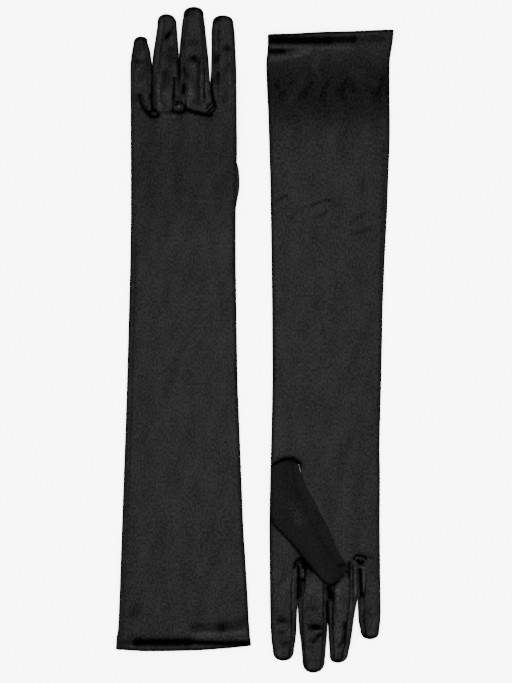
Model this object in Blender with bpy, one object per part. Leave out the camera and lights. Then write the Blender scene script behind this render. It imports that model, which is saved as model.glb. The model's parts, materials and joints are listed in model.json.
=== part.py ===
"""A pair of black satin opera gloves, lying flat side by side, one back up and one palm up.

Metres, +Z up, with the origin on the table under the middle of the pair. Each glove has its own
coordinates: u runs across the hand towards the index finger, v runs from the hem to the fingertips,
and w is the depth from the outer face of the back to the palm and the thumb. The glove that lies
palm up has w as its height. The one that lies back up is turned over, on top of its own thumb. Under
the thumb's tip, two fingers of the glove that lies palm up bend a little further along, past a root.
"""

import math

import bmesh
import bpy
from mathutils import Vector

# Cloth and hollows
CLOTH = 0.0006
GAP = 0.0003
HOLLOW = 0.0062
THUMB_HOLLOW = 0.0044
THICKNESS = HOLLOW + 2 * CLOTH
THUMB_THICKNESS = THUMB_HOLLOW + 2 * CLOTH
PALM_LIFT = THUMB_THICKNESS + GAP

# Side walls: how far they bulge, and how far the flat sheets stop short of the outline
WALL_BULGE = 0.0016
SHEET_INSET = 0.0012
WALL_STEPS = 4

# Lengths along the glove, from the hem
KNUCKLE_LINE = 0.482
TAPER_END = 0.330
TAPER_POWER = 1.3
RAMP_START = 0.300
RAMP_END = 0.375
SLEEVE_ROWS = (0.0, 0.045, 0.095, 0.150, 0.210, 0.255, RAMP_START, RAMP_END, KNUCKLE_LINE)
HEM_DEPTH = 0.015
HEM_SETBACK = 0.0005
HEM_SIDE_ROOM = 0.0026

# Fingers: where the widest and the last full width are, and the rounded tips
MID_SHARE = 0.4
FINGER_TIP_REACH = 0.014
ROOT_SHOULDER = 0.0022
ROUND_ANGLES = (25, 50, 72)
WALL_END_ANGLE = 88

# Thumb: its base on the palm, its lean across the palm, and its widths as (length, middle, half)
THUMB_BASE = (0.036, 0.384)
THUMB_LEAN = math.radians(24.6)
THUMB_WIDTHS = (
    (0.014, 0.0060, 0.0150),
    (0.030, 0.0095, 0.0185),
    (0.044, 0.0110, 0.0200),
    (0.082, 0.0047, 0.0160),
    (0.104, 0.0012, 0.0118),
)
THUMB_BASE_REACH = 0.014
THUMB_TIP_REACH = 0.013
THUMB_HINGE = (0.022, 0.006)
THUMB_HOLE_RADIUS = 0.012
HOLE_SIDES = 24

FINGERS = ("pinky", "ring", "middle", "index")
WALL_NAMES = {
    "pinky": ("outer_seam", "fourchette_ring_side"),
    "ring": ("fourchette_pinky_side", "fourchette_middle_side"),
    "middle": ("fourchette_ring_side", "fourchette_index_side"),
    "index": ("fourchette_middle_side", "outer_fold"),
}

GLOVES = {
    "left": {
        "hem": (-0.0640, -0.2775),
        "turn": 0.0,
        "palm_up": False,
        "hand_half": 0.0472,
        "flare": 0.0128,
        "crotches": (-0.0266, -0.0032, 0.0238),
        "tips": {"pinky": (-0.0370, 0.550), "ring": (-0.0152, 0.570),
                 "middle": (0.0092, 0.5766), "index": (0.0364, 0.569)},
        "roots": {},
    },
    "right": {
        "hem": (0.0683, 0.2759),
        "turn": math.radians(179.47),
        "palm_up": True,
        "hand_half": 0.0490,
        "flare": 0.0069,
        "crotches": (-0.0290, -0.0040, 0.0225),
        "tips": {"pinky": (-0.0400, 0.544), "ring": (-0.0104, 0.566),
                 "middle": (0.0113, 0.575), "index": (0.0379, 0.564)},
        "roots": {"ring": 0.0115, "middle": 0.0115},
    },
}

# Half widths of each finger at its middle, and where its rounded tip starts
FINGER_HALVES = {
    "pinky": (0.0094, 0.0076),
    "ring": (0.0110, 0.0093),
    "middle": (0.0125, 0.0102),
    "index": (0.0112, 0.0095),
}

MATERIALS = {
    "satin_shell": ((0.020, 0.020, 0.021), 0.42),
    "satin_fourchette": ((0.014, 0.014, 0.015), 0.45),
    "satin_thumb": ((0.012, 0.012, 0.013), 0.42),
    "satin_hem": ((0.017, 0.017, 0.018), 0.50),
}


def clear_scene():
    for obj in list(bpy.data.objects):
        bpy.data.objects.remove(obj, do_unlink=True)


def make_materials():
    """One satin for each kind of piece."""
    made = {}
    for name, (colour, roughness) in MATERIALS.items():
        material = bpy.data.materials.new(name)
        material.use_nodes = True
        shader = material.node_tree.nodes["Principled BSDF"]
        shader.inputs["Base Color"].default_value = (*colour, 1.0)
        shader.inputs["Roughness"].default_value = roughness
        shader.inputs["Metallic"].default_value = 0.0
        made[name] = material
    return made


def make_empty(name, parent, place, turn=0.0):
    empty = bpy.data.objects.new(name, None)
    bpy.context.collection.objects.link(empty)
    empty.empty_display_size = 0.02
    empty.parent = parent
    empty.location = place
    empty.rotation_euler = (0.0, 0.0, turn)
    return empty


def finish_mesh(bm, name, parent, material):
    """Turns a closed bmesh into a named object under its parent empty."""
    bmesh.ops.recalc_face_normals(bm, faces=bm.faces)
    mesh = bpy.data.meshes.new(name)
    bm.to_mesh(mesh)
    bm.free()
    mesh.materials.append(material)
    mesh.shade_smooth()
    mesh.set_sharp_from_angle(angle=math.radians(40))
    obj = bpy.data.objects.new(name, mesh)
    bpy.context.collection.objects.link(obj)
    obj.parent = parent
    return obj


def join_rings(bm, first, second):
    """Faces between two rings of as many vertices."""
    for i in range(len(first)):
        bm.faces.new((first[i - 1], first[i], second[i], second[i - 1]))


def loft(name, rings, parent, material):
    """A closed solid through rings of points, capped at both ends."""
    bm = bmesh.new()
    loops = [[bm.verts.new(point) for point in ring] for ring in rings]
    for first, second in zip(loops, loops[1:]):
        join_rings(bm, first, second)
    for loop in (loops[0], loops[-1]):
        bm.faces.new(loop)
    return finish_mesh(bm, name, parent, material)


def flat_tube(name, rings, parent, material):
    """A tube with a wall, from its outer and inner rings at each end, in the order they are met."""
    bm = bmesh.new()
    loops = [[bm.verts.new(point) for point in ring] for ring in rings]
    for i, loop in enumerate(loops):
        join_rings(bm, loops[i - 1], loop)
    return finish_mesh(bm, name, parent, material)


def cut_round_hole(obj, centre, parent):
    """Cuts a round hole, upright through the object, with a hidden cutter."""
    bm = bmesh.new()
    bmesh.ops.create_cone(bm, cap_ends=True, segments=HOLE_SIDES, radius1=THUMB_HOLE_RADIUS,
                          radius2=THUMB_HOLE_RADIUS, depth=4 * THICKNESS)
    mesh = bpy.data.meshes.new(obj.name + "_cutter")
    bm.to_mesh(mesh)
    bm.free()
    cutter = bpy.data.objects.new(mesh.name, mesh)
    bpy.context.collection.objects.link(cutter)
    cutter.parent = parent
    cutter.location = centre
    cutter.hide_render = True
    cutter.display_type = "WIRE"
    hole = obj.modifiers.new("thumb_hole", "BOOLEAN")
    hole.operation = "DIFFERENCE"
    hole.solver = "EXACT"
    hole.object = cutter


def half_width(glove, v):
    taper = max(0.0, 1 - v / TAPER_END)
    return glove["hand_half"] + glove["flare"] * taper**TAPER_POWER


def height(glove, w, v=KNUCKLE_LINE):
    """The height of depth w at length v, above the table."""
    if glove["palm_up"]:
        return w
    ramp = min(1.0, max(0.0, (v - RAMP_START) / (RAMP_END - RAMP_START)))
    return PALM_LIFT * ramp + THICKNESS - w


def wall_profile(low, high):
    """The outer line of a side wall, as (outset, depth) from one edge to the other."""
    steps = [math.pi * k / WALL_STEPS for k in range(WALL_STEPS + 1)]
    return [(WALL_BULGE * (math.sin(a) - 1), (low + high - (high - low) * math.cos(a)) / 2)
            for a in steps]


def wall_ring(profile, place):
    """The wall's cross-section: its outer line, and back along its inner line."""
    outer = [place(outset, w) for outset, w in profile]
    inner = [place(outset - CLOTH, w) for outset, w in profile]
    return outer + inner[::-1]


def make_sleeve_sheet(name, glove, low, parent, material):
    """A flat sheet from the hem to the knuckles, with its depth from low to low + CLOTH."""
    rings = []
    for v in SLEEVE_ROWS:
        half = half_width(glove, v) - SHEET_INSET
        end = v - GAP if v == KNUCKLE_LINE else v
        bottom, top = (height(glove, w, v) for w in (low, low + CLOTH))
        rings.append([(-half, end, bottom), (half, end, bottom), (half, end, top), (-half, end, top)])
    return loft(name, rings, parent, material)


def make_sleeve_edge(name, glove, side, parent, material):
    """The folded or sewn edge of the trank, a full bead of cloth between its back and its palm."""
    profile = wall_profile(CLOTH + GAP, THICKNESS - CLOTH - GAP)
    bead = [*profile, (profile[-1][0] - CLOTH, profile[-1][1]), (profile[0][0] - CLOTH, profile[0][1])]
    rings = []
    for v in SLEEVE_ROWS:
        half = half_width(glove, v)
        end = v - GAP if v == KNUCKLE_LINE else v
        rings.append([(side * (half + outset), end, height(glove, w, v)) for outset, w in bead])
    return loft(name, rings, parent, material)


def make_hem_band(name, glove, parent, material):
    """The turned hem: a flat tube inside the mouth of the sleeve."""
    low = CLOTH + GAP
    high = THICKNESS - low

    def ring(v, thinner):
        half = half_width(glove, v) - HEM_SIDE_ROOM - thinner
        corners = ((-half, low + thinner), (half, low + thinner),
                   (half, high - thinner), (-half, high - thinner))
        return [(u, v, height(glove, w, v)) for u, w in corners]

    mouth, inside = HEM_SETBACK, HEM_DEPTH
    rings = [ring(mouth, 0), ring(inside, 0), ring(inside, CLOTH), ring(mouth, CLOTH)]
    return flat_tube(name, rings, parent, material)


def rounded(station, reach, way, inset, angles):
    """Sections that close a pocket past a station, along half an ellipse."""
    length, middle, half = station
    return [(length + way * (reach - inset) * math.sin(math.radians(a)), middle,
             (half - inset) * math.cos(math.radians(a))) for a in angles]


def pocket_sheet_rings(stations, base_reach, tip_reach, low, high):
    """Rings of a flat sheet that follows a pocket's widths, rounded at its closed ends."""
    sections = [(length, middle, half - SHEET_INSET) for length, middle, half in stations]
    if base_reach:
        sections = rounded(stations[0], base_reach, -1, SHEET_INSET, ROUND_ANGLES[::-1]) + sections
    sections += rounded(stations[-1], tip_reach, 1, SHEET_INSET, ROUND_ANGLES)
    return [[(middle - half, length, low), (middle + half, length, low),
             (middle + half, length, high), (middle - half, length, high)]
            for length, middle, half in sections]


def pocket_edge(stations, base_reach, tip_reach, side):
    """Points along one side of a pocket, each with its outward direction."""
    angles = (*ROUND_ANGLES, WALL_END_ANGLE)
    edge = [((middle + side * half, length), (side, 0.0)) for length, middle, half in stations]

    def arc(station, reach, way, order):
        half = station[2]
        points = []
        for angle, (length, middle, width) in zip(order, rounded(station, reach, way, 0.0, order)):
            outward = Vector((side * reach * math.cos(math.radians(angle)),
                              way * half * math.sin(math.radians(angle)))).normalized()
            points.append(((middle + side * width, length), tuple(outward)))
        return points

    base = arc(stations[0], base_reach, -1, angles[::-1]) if base_reach else []
    return base + edge + arc(stations[-1], tip_reach, 1, angles)


def make_pocket_wall(name, edge, profile, parent, material):
    """A curved wall along one side of a pocket, from its base to the middle of its tip."""
    rings = []
    for (x, y), (out_x, out_y) in edge:

        def place(outset, z, x=x, y=y, out_x=out_x, out_y=out_y):
            return (x + out_x * outset, y + out_y * outset, z)

        rings.append(wall_ring(profile, place))
    return loft(name, rings, parent, material)


def finger_stations(glove, finger):
    """A finger's widths along the glove, as (length, middle, half)."""
    edges = (-glove["hand_half"], *glove["crotches"], glove["hand_half"])
    number = FINGERS.index(finger)
    start, stop = edges[number], edges[number + 1]
    middle = (start + stop) / 2
    tip_u, tip_v = glove["tips"][finger]
    length = tip_v - KNUCKLE_LINE
    mid_half, tip_half = FINGER_HALVES[finger]
    halves = ((0.0, (stop - start) / 2 - GAP), (MID_SHARE * length, mid_half),
              (length - FINGER_TIP_REACH, tip_half))
    return [(KNUCKLE_LINE + s, middle + (tip_u - middle) * s / length, half) for s, half in halves]


def part_way(first, second, v):
    """The widths at length v, between two stations."""
    share = (v - first[0]) / (second[0] - first[0])
    return tuple(a + (b - a) * share for a, b in zip(first, second))


def make_finger_root(name, glove, first, second, parent, material):
    """A finger's start that stays with the hand: a flat tube between the trank and the hinge line."""

    def ring(station, thinner):
        v, middle, half = station
        half -= thinner
        flat = half - SHEET_INSET
        low, high = thinner, THICKNESS - thinner
        corners = ((-flat, low), (flat, low), (half, ROOT_SHOULDER), (half, THICKNESS - ROOT_SHOULDER),
                   (flat, high), (-flat, high), (-half, THICKNESS - ROOT_SHOULDER), (-half, ROOT_SHOULDER))
        return [(middle + u, v, height(glove, w)) for u, w in corners]

    rings = [ring(first, 0), ring(second, 0), ring(second, CLOTH), ring(first, CLOTH)]
    return flat_tube(name, rings, parent, material)


def make_finger(side, glove, finger, frame, materials):
    """A finger's back, palm and two side walls, under an empty on its hinge line."""
    places = finger_stations(glove, finger)
    root = glove["roots"].get(finger, 0.0)
    if root:
        stop, start = (part_way(*places[:2], KNUCKLE_LINE + root - gap) for gap in (GAP, 0.0))
        make_finger_root(f"{side}_{finger}_root", glove, places[0], stop, frame, materials["satin_shell"])
        places[0] = start
    hinge_depth = THICKNESS if glove["palm_up"] else 0.0
    hinge = (places[0][1], places[0][0] - GAP / 2, height(glove, hinge_depth))
    empty = make_empty(f"{side}_{finger}_hinge", frame, hinge)
    stations = [(v - hinge[1], middle - hinge[0], half) for v, middle, half in places]

    def level(w):
        return height(glove, w) - hinge[2]

    for part, low in (("back", 0.0), ("palm", THICKNESS - CLOTH)):
        rings = pocket_sheet_rings(stations, 0.0, FINGER_TIP_REACH, level(low), level(low + CLOTH))
        loft(f"{side}_{finger}_{part}", rings, empty, materials["satin_shell"])
    profile = [(outset, level(w)) for outset, w in wall_profile(CLOTH + GAP, THICKNESS - CLOTH - GAP)]
    for way, wall in zip((-1, 1), WALL_NAMES[finger]):
        edge = pocket_edge(stations, 0.0, FINGER_TIP_REACH, way)
        slot = "satin_fourchette" if "fourchette" in wall else "satin_shell"
        make_pocket_wall(f"{side}_{finger}_{wall}", edge, profile, empty, materials[slot])


def thumb_hinge_place():
    """The thumb's upright hinge line on the palm, in the middle of the thumb hole."""
    along, across = THUMB_HINGE
    return (THUMB_BASE[0] - along * math.sin(THUMB_LEAN) + across * math.cos(THUMB_LEAN),
            THUMB_BASE[1] + along * math.cos(THUMB_LEAN) + across * math.sin(THUMB_LEAN))


def make_thumb(side, glove, frame, materials):
    """The thumb: its front and back, and the fold and the seam along its sides."""
    satin = materials["satin_thumb"]
    low = THICKNESS + GAP
    high = low + THUMB_THICKNESS
    hinge = (*thumb_hinge_place(), height(glove, low))
    empty = make_empty(f"{side}_thumb_hinge", frame, hinge, THUMB_LEAN)
    along, across = THUMB_HINGE
    stations = [(length - along, middle - across, half) for length, middle, half in THUMB_WIDTHS]

    def level(w):
        return height(glove, w) - hinge[2]

    sheets = {}
    for part, start in (("back", low), ("front", high - CLOTH)):
        rings = pocket_sheet_rings(stations, THUMB_BASE_REACH, THUMB_TIP_REACH,
                                   level(start), level(start + CLOTH))
        sheets[part] = loft(f"{side}_thumb_{part}", rings, empty, satin)
    cut_round_hole(sheets["back"], (0.0, 0.0, 0.0), empty)
    profile = [(outset, level(w)) for outset, w in wall_profile(low + CLOTH + GAP, high - CLOTH - GAP)]
    for way, wall in ((-1, "seam"), (1, "fold")):
        edge = pocket_edge(stations, THUMB_BASE_REACH, THUMB_TIP_REACH, way)
        make_pocket_wall(f"{side}_thumb_{wall}", edge, profile, empty, satin)


def make_glove(side, glove, materials):
    """One glove: its trank, its turned hem, four fingers and the thumb."""
    frame = make_empty(f"{side}_glove_frame", None, (*glove["hem"], 0.0), glove["turn"])
    satin = materials["satin_shell"]
    make_sleeve_sheet(f"{side}_back_panel", glove, 0.0, frame, satin)
    palm = make_sleeve_sheet(f"{side}_palm_panel", glove, THICKNESS - CLOTH, frame, satin)
    cut_round_hole(palm, (*thumb_hinge_place(), height(glove, THICKNESS)), frame)
    make_sleeve_edge(f"{side}_trank_seam", glove, -1, frame, satin)
    make_sleeve_edge(f"{side}_trank_fold", glove, 1, frame, satin)
    make_hem_band(f"{side}_hem_band", glove, frame, materials["satin_hem"])
    for finger in FINGERS:
        make_finger(side, glove, finger, frame, materials)
    make_thumb(side, glove, frame, materials)


def main():
    clear_scene()
    materials = make_materials()
    for side, glove in GLOVES.items():
        make_glove(side, glove, materials)


main()
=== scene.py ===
"""The looks of a pair of black satin opera gloves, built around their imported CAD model.

Each glove is worked out in its own coordinates: u across the hand towards the index finger, v from
the hem to the fingertips, and z up from the table. Lengths are in metres, and the tables of outlines
and creases are in mm.
"""

import json
import math
from types import SimpleNamespace

import bmesh
import bpy
import numpy as np
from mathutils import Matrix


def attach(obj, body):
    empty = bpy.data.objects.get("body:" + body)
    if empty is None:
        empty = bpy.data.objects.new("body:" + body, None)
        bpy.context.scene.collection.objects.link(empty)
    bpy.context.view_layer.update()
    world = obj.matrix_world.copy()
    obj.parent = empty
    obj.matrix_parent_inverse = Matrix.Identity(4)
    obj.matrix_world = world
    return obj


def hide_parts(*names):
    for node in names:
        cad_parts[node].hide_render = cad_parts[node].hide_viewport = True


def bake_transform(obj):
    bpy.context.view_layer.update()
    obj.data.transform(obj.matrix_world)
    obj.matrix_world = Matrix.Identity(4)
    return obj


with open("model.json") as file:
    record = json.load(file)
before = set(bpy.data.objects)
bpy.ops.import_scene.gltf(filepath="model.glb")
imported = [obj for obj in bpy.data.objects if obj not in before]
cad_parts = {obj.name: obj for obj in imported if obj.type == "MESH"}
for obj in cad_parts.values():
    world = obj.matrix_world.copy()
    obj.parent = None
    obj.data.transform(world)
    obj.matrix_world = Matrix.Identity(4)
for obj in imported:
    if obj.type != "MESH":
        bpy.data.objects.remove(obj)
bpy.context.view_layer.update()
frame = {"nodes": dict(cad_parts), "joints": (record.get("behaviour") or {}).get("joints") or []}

MM = 0.001
FINGERS = ("pinky", "ring", "middle", "index")

# Where the fingers start, and where the thumb's hinge lies on the palm, in glove coordinates
KNUCKLE = 482 * MM
THUMB_HINGE = (32.297 * MM, 406.501 * MM)

# The edges of the trank, the tube of the sleeve and hand, in mm: (v, little finger edge, index edge)
TRANK_EDGES = {
    "left": (
        (0, -61, 60.9), (6, -60.7, 60.2), (10, -60.6, 59.5), (13, -60, 59.4), (17, -58.9, 59.3),
        (23, -58.7, 58.7), (43, -57.8, 57.9), (86, -56.3, 55.3), (107, -55.6, 53.9), (150, -54, 52.2),
        (194, -52.4, 50.5), (237, -51, 48.7), (280, -49.8, 48), (345, -48.1, 47),
        (388, -47.4, 47), (450, -47.5, 48.3), (482, -47.6, 47.9),
    ),
    "right": (
        (0, -56.8, 56.8), (8, -56.2, 56.5), (13, -55.6, 56.6), (17.5, -54.8, 57), (21, -54, 57.7),
        (28, -53.2, 58), (52, -53.3, 56.9), (73, -53.9, 55.6), (95, -54.1, 54.8), (138, -52.8, 53.1),
        (160, -52.3, 52.6), (203, -50.4, 51.5), (246, -49.1, 50.6), (311, -48.4, 49.6),
        (354, -47.6, 50), (375, -47.4, 50.4), (397, -48.1, 50.8), (441, -48.2, 51.3),
        (482, -49, 50.5),
    ),
}
# The hem's own line across the mouth in mm: (u, v)
HEM_LINES = {
    "left": ((-62, -1), (-55, -1.2), (-34, -2.4), (-12, -2.2), (15, -1.5), (42, 0.6), (55, 1.9), (62, 2.6)),
    "right": ((-58, -3.3), (-50, -3), (-18, -1.1), (9, -0.3), (36, 1.4), (54, 1.9), (58, 2.1)),
}
# Where the fingers part, in mm across the knuckles
CROTCHES = {"left": (-26.6, -3.2, 23.8), "right": (-29.4, -4.0, 22.5)}

# Each finger's edges beyond the knuckles in mm: (v, little finger side, index side), then its tip (u, v)
FINGER_EDGES = {
    "left": {
        "pinky": (((500, -47.8, -26.9), (513, -47.9, -27.4), (520, -47.9, -27.7), (527, -47.6, -28.7),
            (532, -47.1, -29.1), (538, -46, -30.1), (544, -44.9, -32.2)), (-38.3, 550.4)),
        "ring": (((500, -27.3, -3.5), (513, -28, -3.6), (522, -28.4, -3.7), (533, -27.6, -4.2),
            (543, -26, -4.7), (560, -23.5, -6)), (-15.5, 570.6)),
        "middle": (((500, -3.9, 24.2), (507, -4, 24.1), (513, -4.1, 23.5), (522, -4.2, 23.1),
            (532, -4, 22.3), (543, -3.3, 21.1), (560, -1.6, 19.3), (568, -0.3, 18.2)), (9.2, 577.1)),
        "index": (((500, 23.7, 47.8), (507, 23.9, 47.7), (513, 24.4, 47.7), (522, 24.6, 47.5),
            (533, 24.9, 47), (554, 24.9, 46), (560, 25.6, 45.1)), (35.3, 569.5)),
    },
    "right": {
        "pinky": (((495, -49.2, -29), (505, -49.4, -28.4), (510, -49.5, -28.6), (519, -49.7, -29.1),
            (529, -49.5, -29.6), (536, -48.5, -31.4)), (-40.3, 545.3)),
        "ring": (((495, -29.1, -3.6), (505, -28.9, -3), (510, -28.4, -2.8), (519, -26.8, -2.3),
            (528, -25.4, -2.1), (534, -24.8, -2.5), (538, -24.3, -2.7), (547, -23.1, -3.2),
            (557, -21, -4.1)), (-11.6, 566.8)),
        "middle": (((495, -3.6, 24.4), (508, -3, 25.3), (514, -2.7, 25.2), (520, -2.5, 24.8),
            (529, -2.3, 24.2), (534, -1.9, 23.8), (539, -1.8, 23.3), (547, -1.2, 22), (563, 0, 20.4)),
            (10.4, 575.9)),
        "index": (((495, 24.4, 50.3), (508, 24.9, 50.1), (514, 25.1, 49.9), (520, 25.5, 49.7),
            (538, 25.8, 49.1), (547, 26.6, 48.4), (554, 27.8, 47.1)), (37.6, 565.4)),
    },
}

# Creases (negative height) and ridges (positive) of the upper cloth, in mm: the width, the height, how much
# darker (up to 1) or lighter (below 0) the satin is painted there, and the points u, v, u, v along the
# line.
# The darkening is painted shade in the creases, folds and crotches, the lightening a painted highlight on
# the ridges, and rows of no height only paint the satin darker or lighter
LEFT_FOLDS = (
    # hem
    (3.4, -1.1, 0.97, -42, 5.9, -20, 6.2, 4, 6.1), (2.1, -1, 0.95, 4, 6.2, 30, 5.3, 57, 5.2),
    (2.2, -0.3, 0.45, -54, 5.2, -44, 5.8), (1.8, 0.35, -0.3, 8, 12, 30, 12.6, 57, 14.2),
    (3.6, -0.5, 0.42, 9, 19.5, 20, 19.5, 34, 19.5), (4.6, -0.5, 0.45, 36, 20, 46, 21, 56, 25),
    (4, -0.3, 0.3, -48, 30, -42, 35), (2.2, -0.2, 0.3, -48, 10.5, -39, 10.5),
    # little finger and ring finger
    (1.8, -1.1, 0.92, -39, 497, -38, 490, -35, 484, -31, 479.7, -27, 477.3, -22.5, 478),
    (1.2, -0.7, 0.7, -29.5, 497, -28.4, 489, -26, 482), (1.2, 0.45, -0.15, -33.4, 497, -31.6, 488),
    (1.2, -0.8, 0.85, -30, 480.5, -28, 482.5, -24.5, 482, -23, 479),
    (0.9, 0.6, -0.9, -26, 479.2, -25, 480.2), (1.5, 0.5, -0.26, -21.5, 484, -21.8, 500, -21.4, 520),
    (1, -0.5, 0.6, -23.6, 516.3, -21, 518), (2.9, -0.5, 0.5, -16.5, 504, -16.5, 516),
    (3.3, -0.7, 0.6, -12.8, 531, -12, 538), (2.1, -1.2, 0.95, -15, 548.8, -12.4, 552),
    (1.3, -0.4, 0.5, -11.5, 553, -10.5, 556), (1.2, 0.5, -0.4, -8, 514, -7.6, 524),
    (2.2, -0.5, 0.5, -42, 527, -37, 526.6), (2.6, -0.4, 0.32, -42, 538, -37, 538.5),
    (1, -0.35, 0.4, -22, 481.5, -15, 480.8, -9.5, 481.5), (1, 0.2, -0.15, -20, 477.6, -6, 477.8),
    (0.85, -0.8, 0.75, -27.8, 485, -28.1, 500, -28.2, 520),
    # ring finger and middle finger
    (1.2, -0.7, 0.8, -3.7, 512, -3.9, 528), (0.9, -0.6, 0.66, -9.8, 484, -9.6, 492, -8.3, 500, -7.9, 512),
    (1.6, -0.9, 0.9, -9.5, 482.5, -6, 481, -2, 480.8, 1, 482.5, 1.2, 487),
    (1.1, -0.7, 0.85, -6.5, 487.5, -4.2, 490.5, -1, 489), (0.9, 0.5, -0.8, -4.2, 486.8, -3.2, 485.5),
    (1.6, 0.6, -0.4, -5, 497, -4.9, 504), (1.7, -1.2, 0.95, 0, 498.5, 0.3, 505),
    (0.8, -0.3, 0.5, -6.5, 511, -3.4, 511), (0.9, -0.4, 0.45, -6, 512, -5.4, 528),
    # middle finger and index finger
    (1.9, -1.1, 0.95, 4, 483, 8, 481.8, 13, 480.3, 19, 479, 25, 478.8),
    (0.8, -0.7, 0.9, 21.6, 481.5, 27.5, 487.5), (0.8, -0.7, 0.9, 24, 479.6, 28.5, 484),
    (0.8, -0.6, 0.8, 20.2, 484, 25, 489), (0.6, 0.4, -0.6, 20.9, 482.8, 26, 488.2),
    (1.6, -1, 0.92, 25.3, 511, 25.5, 500, 27, 491, 28.8, 486),
    (1.1, 0.6, -0.6, 23, 492, 21.2, 499, 20.6, 507), (2, -0.4, 0.35, 3, 502, 3, 520),
    (1.7, 0.6, -0.48, 7.8, 501, 8.2, 524), (2.1, -0.8, 0.65, 12.8, 489, 13, 526),
    (1.2, 0.5, -0.4, 16.3, 494, 16.2, 522), (0.9, -0.5, 0.6, 18.7, 494, 18.9, 520),
    (0.9, 0.45, -0.32, 4.8, 487, 5.6, 495, 7, 503), (2.6, -1.3, 0.97, 8, 529.5, 9.3, 529.7),
    (2.6, -0.5, 0.5, 6.5, 543.3, 9, 543.7), (3, -0.6, 0.6, 36.6, 539, 40.4, 538.6),
    (1.2, -0.3, 0.4, 31, 517, 31, 514), (0.8, -0.2, 0.25, 40, 525, 45, 525.3),
    (2, 0, 0.22, 29.3, 488, 29.3, 565), (1.9, -0.2, 0.3, 28.6, 508, 28.8, 534),
    (2, -0.3, 0.3, 13.6, 495, 14.2, 532), (1.2, -0.2, 0.3, 18, 534, 17.6, 560),
    # fingertips: painted shade round their rims
    (1.1, -0.3, 0.6, -42.4, 545.5, -40, 547.3, -37, 547.6, -34.4, 546),
    (1, -0.3, 0.55, -19.5, 565.5, -16, 567.8, -11.5, 567, -8.6, 564),
    (1.2, -0.4, 0.72, 2.6, 568, 4.8, 572.8, 9, 574.3, 14, 573.6, 16.8, 569),
    (1.1, -0.4, 0.62, 28.8, 562, 32, 566.3, 38, 566.9, 43.4, 564),
    # the whole hand
    (42, 0, 0.14, 40, 430, -40, 430),
)
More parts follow.
